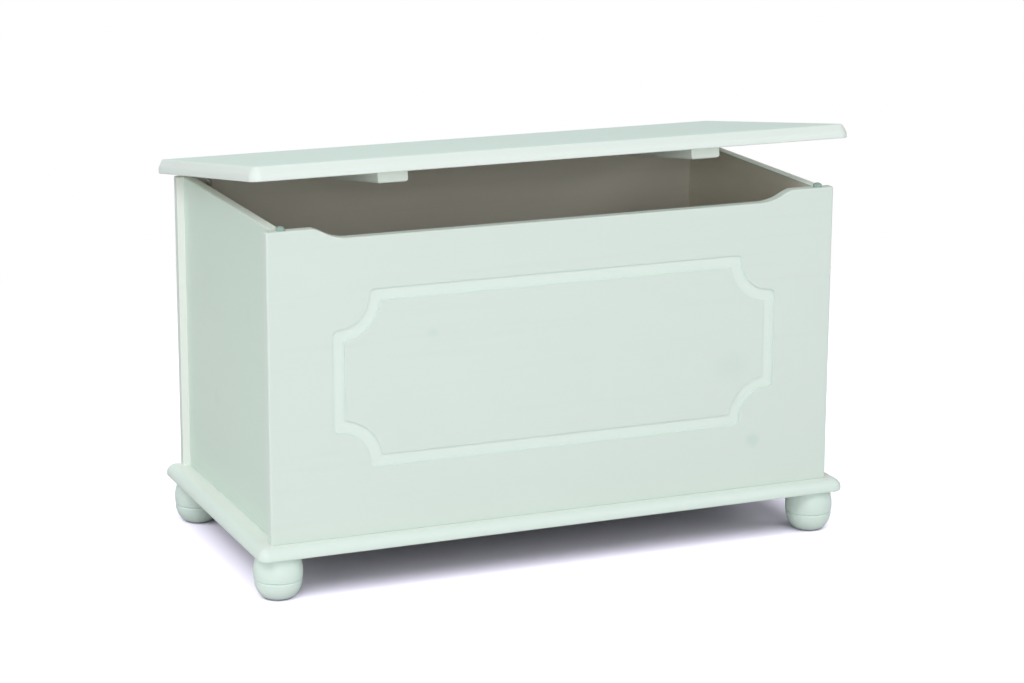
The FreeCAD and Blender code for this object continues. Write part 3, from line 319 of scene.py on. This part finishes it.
# Hinges, folding stay, screws and fittings. They are pressed or turned steel, and cast zinc locks,
# with a bright plating that shows fine rolling lines and a little tarnish.
PLATED_METAL, given, group_out = new_group(
    "Plated metal",
    [("Position", "NodeSocketVector", None), ("Colour", "NodeSocketColor", (0.6, 0.6, 0.6, 1)),
     ("Dull colour", "NodeSocketColor", (0.4, 0.4, 0.4, 1)), ("Roughness", "NodeSocketFloat", 0.3)],
    [("Colour", "NodeSocketColor", None), ("Roughness", "NodeSocketFloat", None),
     ("Height", "NodeSocketFloat", None)])
rolled = add_node(PLATED_METAL, "ShaderNodeMapping",
                  {"Vector": given["Position"], "Scale": (80, 900, 900)})
lines = add_node(PLATED_METAL, "ShaderNodeTexNoise",
                 {"Vector": rolled.outputs["Vector"], "Scale": 1.0, "Detail": 3.0})
spots = add_node(PLATED_METAL, "ShaderNodeTexNoise",
                 {"Vector": given["Position"], "Scale": 90.0, "Detail": 4.0, "Roughness": 0.6})
dull = add_node(PLATED_METAL, "ShaderNodeMapRange",
                {"Value": spots.outputs["Fac"], "From Min": 0.5, "From Max": 0.75, "To Max": 0.8})
tone = add_node(PLATED_METAL, "ShaderNodeMix",
                {"Factor": dull.outputs["Result"], "A": given["Colour"], "B": given["Dull colour"]},
                data_type="RGBA")
rough = add_node(PLATED_METAL, "ShaderNodeMath",
                 {0: spots.outputs["Fac"], 1: 0.2, 2: given["Roughness"]}, operation="MULTIPLY_ADD")
fill(PLATED_METAL, group_out,
     {"Colour": tone.outputs["Result"], "Roughness": rough.outputs[0], "Height": lines.outputs["Fac"]})


def plated(name, colour, dull_colour, roughness, bump):
    """Metal with a plated or cast skin."""
    material, tree = new_material(name)
    place = add_node(tree, "ShaderNodeTexCoord")
    skin = add_node(tree, "ShaderNodeGroup",
                    {"Position": place.outputs["Object"], "Colour": colour, "Dull colour": dull_colour,
                     "Roughness": roughness}, node_tree=PLATED_METAL)
    relief = add_node(tree, "ShaderNodeBump",
                      {"Strength": bump, "Distance": 0.0001, "Height": skin.outputs["Height"]})
    surface = add_node(tree, "ShaderNodeBsdfPrincipled",
                       {"Base Color": skin.outputs["Colour"], "Metallic": 1.0,
                        "Roughness": skin.outputs["Roughness"], "Normal": relief.outputs["Normal"]})
    add_node(tree, "ShaderNodeOutputMaterial", {"Surface": surface.outputs["BSDF"]})
    return material


dress(["hinge_left_lower_leaf", "hinge_right_lower_leaf", "hinge_left_upper_leaf",
       "hinge_right_upper_leaf", "stay_case_bracket", "stay_lower_arm", "stay_upper_arm",
       "stay_lid_bracket"],
      plated("nickel plate", linear(206, 204, 198), linear(172, 170, 164), roughness=0.34, bump=0.3))
dress(["hinge_left_pin", "hinge_right_pin", "hinge_case_screws", "hinge_lid_screws",
       "stay_case_screws", "stay_lid_screws", "stay_case_rivet", "stay_knee_rivet",
       "stay_lid_rivet", "base_screws", "batten_screws", "cam_bolts", "foot_studs"],
      plated("bright zinc", linear(205, 207, 210), linear(170, 172, 176), roughness=0.26, bump=0.2))
dress(["cam_locks", "foot_inserts"],
      plated("cast zinc", linear(176, 177, 180), linear(150, 151, 154), roughness=0.4, bump=0.5))


# Dowels. They are bare beech with its fine flecks, turned round and pressed into the corner joints,
# which hide them.
bare_beech, tree = new_material("bare beech")
place = add_node(tree, "ShaderNodeTexCoord")
along = add_node(tree, "ShaderNodeMapping", {"Vector": place.outputs["Object"], "Scale": (400, 30, 400)})
fleck = add_node(tree, "ShaderNodeTexNoise",
                 {"Vector": along.outputs["Vector"], "Scale": 1.0, "Detail": 4.0})
wood = add_node(tree, "ShaderNodeMix",
                {"Factor": fleck.outputs["Fac"], "A": linear(214, 178, 136), "B": linear(186, 146, 104)},
                data_type="RGBA")
relief = add_node(tree, "ShaderNodeBump",
                  {"Strength": 0.4, "Distance": 0.0002, "Height": fleck.outputs["Fac"]})
bare = add_node(tree, "ShaderNodeBsdfPrincipled",
                {"Base Color": wood.outputs["Result"], "Roughness": 0.65,
                 "Normal": relief.outputs["Normal"]})
add_node(tree, "ShaderNodeOutputMaterial", {"Surface": bare.outputs["BSDF"]})
dress(["corner_dowels"], bare_beech)


# Studio floor. A wide white sheet under soft lamps of its own, which drown all but the trunk's shadow
# in white. Away from the trunk it is plain white.
def seen_directly(tree):
    """One where a ray comes from the camera, also through a bumper, and zero where it carries light."""
    ray = add_node(tree, "ShaderNodeLightPath").outputs
    return add_node(tree, "ShaderNodeMath", {0: ray["Is Camera Ray"], 1: ray["Is Transmission Ray"]},
                    operation="MAXIMUM").outputs[0]


WHITE = (1, 1, 1, 1)
# The sheet's colour for the light that it throws back, and for the eye, which sees faintly violet shadows.
BOUNCING_TONE = (0.206, 0.206, 0.206, 1)
SHOWN_TONE = (0.56, 0.543, 0.633, 1)
FADE_START, FADE_END = 0.8, 1.8
REACH = 40.0
floor_mesh = bpy.data.meshes.new("floor")
floor_mesh.from_pydata([(-REACH, -REACH, 0), (REACH, -REACH, 0), (REACH, REACH, 0), (-REACH, REACH, 0)],
                       [], [(0, 1, 2, 3)])
floor = bpy.data.objects.new("floor", floor_mesh)
bpy.context.scene.collection.objects.link(floor)
sheet, tree = new_material("white floor")
shown = seen_directly(tree)
shade = add_node(tree, "ShaderNodeMix", {"Factor": shown, "A": BOUNCING_TONE, "B": SHOWN_TONE},
                 data_type="RGBA")
near = add_node(tree, "ShaderNodeBsdfDiffuse", {"Color": shade.outputs["Result"]})
far = add_node(tree, "ShaderNodeEmission", {"Color": WHITE, "Strength": 1.0})
place = add_node(tree, "ShaderNodeTexCoord")
distance = add_node(tree, "ShaderNodeVectorMath", {0: place.outputs["Object"]}, operation="LENGTH")
fade = add_node(tree, "ShaderNodeMapRange",
                {"Value": distance.outputs["Value"], "From Min": FADE_START, "From Max": FADE_END},
                interpolation_type="SMOOTHSTEP")
plain = add_node(tree, "ShaderNodeMath", {0: fade.outputs["Result"], 1: shown}, operation="MULTIPLY")
both = add_node(tree, "ShaderNodeMixShader",
                {0: plain.outputs[0], 1: near.outputs[0], 2: far.outputs[0]})
add_node(tree, "ShaderNodeOutputMaterial", {"Surface": both.outputs[0]})
floor_mesh.materials.append(sheet)


# Studio light. Dim even walls, a broad key lamp high in front on the left, a low fill that reaches into
# the ajar box, and softer lamps on the right, on the left and behind. The floor has four lamps of its
# own, and light linking keeps the two sets apart.
studio = bpy.data.worlds.new("studio")
studio.use_nodes = True
tree = studio.node_tree
tree.nodes.clear()
walls = add_node(tree, "ShaderNodeBackground", {"Color": WHITE, "Strength": 0.36})
plain = add_node(tree, "ShaderNodeBackground", {"Color": WHITE, "Strength": 1.0})
chosen = add_node(tree, "ShaderNodeMixShader",
                  {0: seen_directly(tree), 1: walls.outputs[0], 2: plain.outputs[0]})
add_node(tree, "ShaderNodeOutputWorld", {"Surface": chosen.outputs[0]})
bpy.context.scene.world = studio

floor_alone = bpy.data.collections.new("floor alone")
floor_alone.objects.link(floor)
all_but_floor = bpy.data.collections.new("all but the floor")
all_but_floor.objects.link(floor)
all_but_floor.collection_objects[0].light_linking.link_state = "EXCLUDE"

# Each lamp's name, place, what it faces, width and height, and watts.
trunk_lamps = [("key lamp", (-2.2, -2.6, 3.4), (0, 0, 0.3), (2.0, 1.5), 60),
               ("low fill lamp", (-1.55, -3.7, 1.3), (0, 0, 0.35), (1.6, 0.9), 25),
               ("right lamp", (2.6, -2.8, 2.2), (0, 0, 0.3), (2.0, 1.5), 34),
               ("left lamp", (-3.6, -0.3, 2.1), (0, 0, 0.3), (2.0, 3.0), 26),
               ("back lamp", (0, 2.4, 3.0), (0, 0, 0.4), (3.0, 1.5), 41)]
floor_lamps = [("floor lamp overhead", (0, -1.67, 3.0), (0, -1.67, 0), (6.0, 4.2), 327),
               ("floor lamp in front", (-0.8, -1.9, 2.6), (0, 0, 0), (7.0, 4.8), 290),
               ("floor lamp on the left", (-2.6, 0.1, 2.2), (-0.5, 0, 0), (2.0, 2.0), 80),
               ("floor lamp on the right", (3.0, -0.6, 1.6), (0.4, -0.1, 0), (1.5, 1.0), 38)]
for lamps, lit in ((trunk_lamps, all_but_floor), (floor_lamps, floor_alone)):
    for name, place, target, size, watts in lamps:
        light = bpy.data.lights.new(name, "AREA")
        light.shape = "RECTANGLE"
        light.size, light.size_y = size
        light.energy = watts
        holder = bpy.data.objects.new(name, light)
        holder.location = place
        holder.rotation_euler = (Vector(target) - Vector(place)).to_track_quat("-Z", "Y").to_euler()
        holder.light_linking.receiver_collection = lit
        bpy.context.scene.collection.objects.link(holder)


# Camera. It looks down at the front and left side through a long lens, as the photograph does. Its
# place, angles and lens come from a fit to the trunk's corners.
CAMERA_PLACE = (-1.5551, -3.7206, 1.2906)
TURN, TILT, ROLL = (math.radians(angle) for angle in (-22.884, 14.236, 0.222))
FOCAL_PIXELS, PICTURE_WIDTH = 2948.84, 1024
ahead = Vector((-math.sin(TURN) * math.cos(TILT), math.cos(TURN) * math.cos(TILT), -math.sin(TILT)))
level = Vector((math.cos(TURN), math.sin(TURN), 0))
rise = level.cross(ahead)
right = level * math.cos(ROLL) + rise * math.sin(ROLL)
up = rise * math.cos(ROLL) - level * math.sin(ROLL)
camera_data = bpy.data.cameras.new("camera")
camera_data.sensor_width = 36.0
camera_data.lens = FOCAL_PIXELS / PICTURE_WIDTH * camera_data.sensor_width
camera_data.clip_end = 200.0
camera = bpy.data.objects.new("camera", camera_data)
camera.matrix_world = (Matrix.Translation(CAMERA_PLACE)
                       @ Matrix((right, up, -ahead)).transposed().to_4x4())
bpy.context.scene.collection.objects.link(camera)
bpy.context.scene.camera = camera
bpy.context.scene.view_settings.view_transform = "Standard"
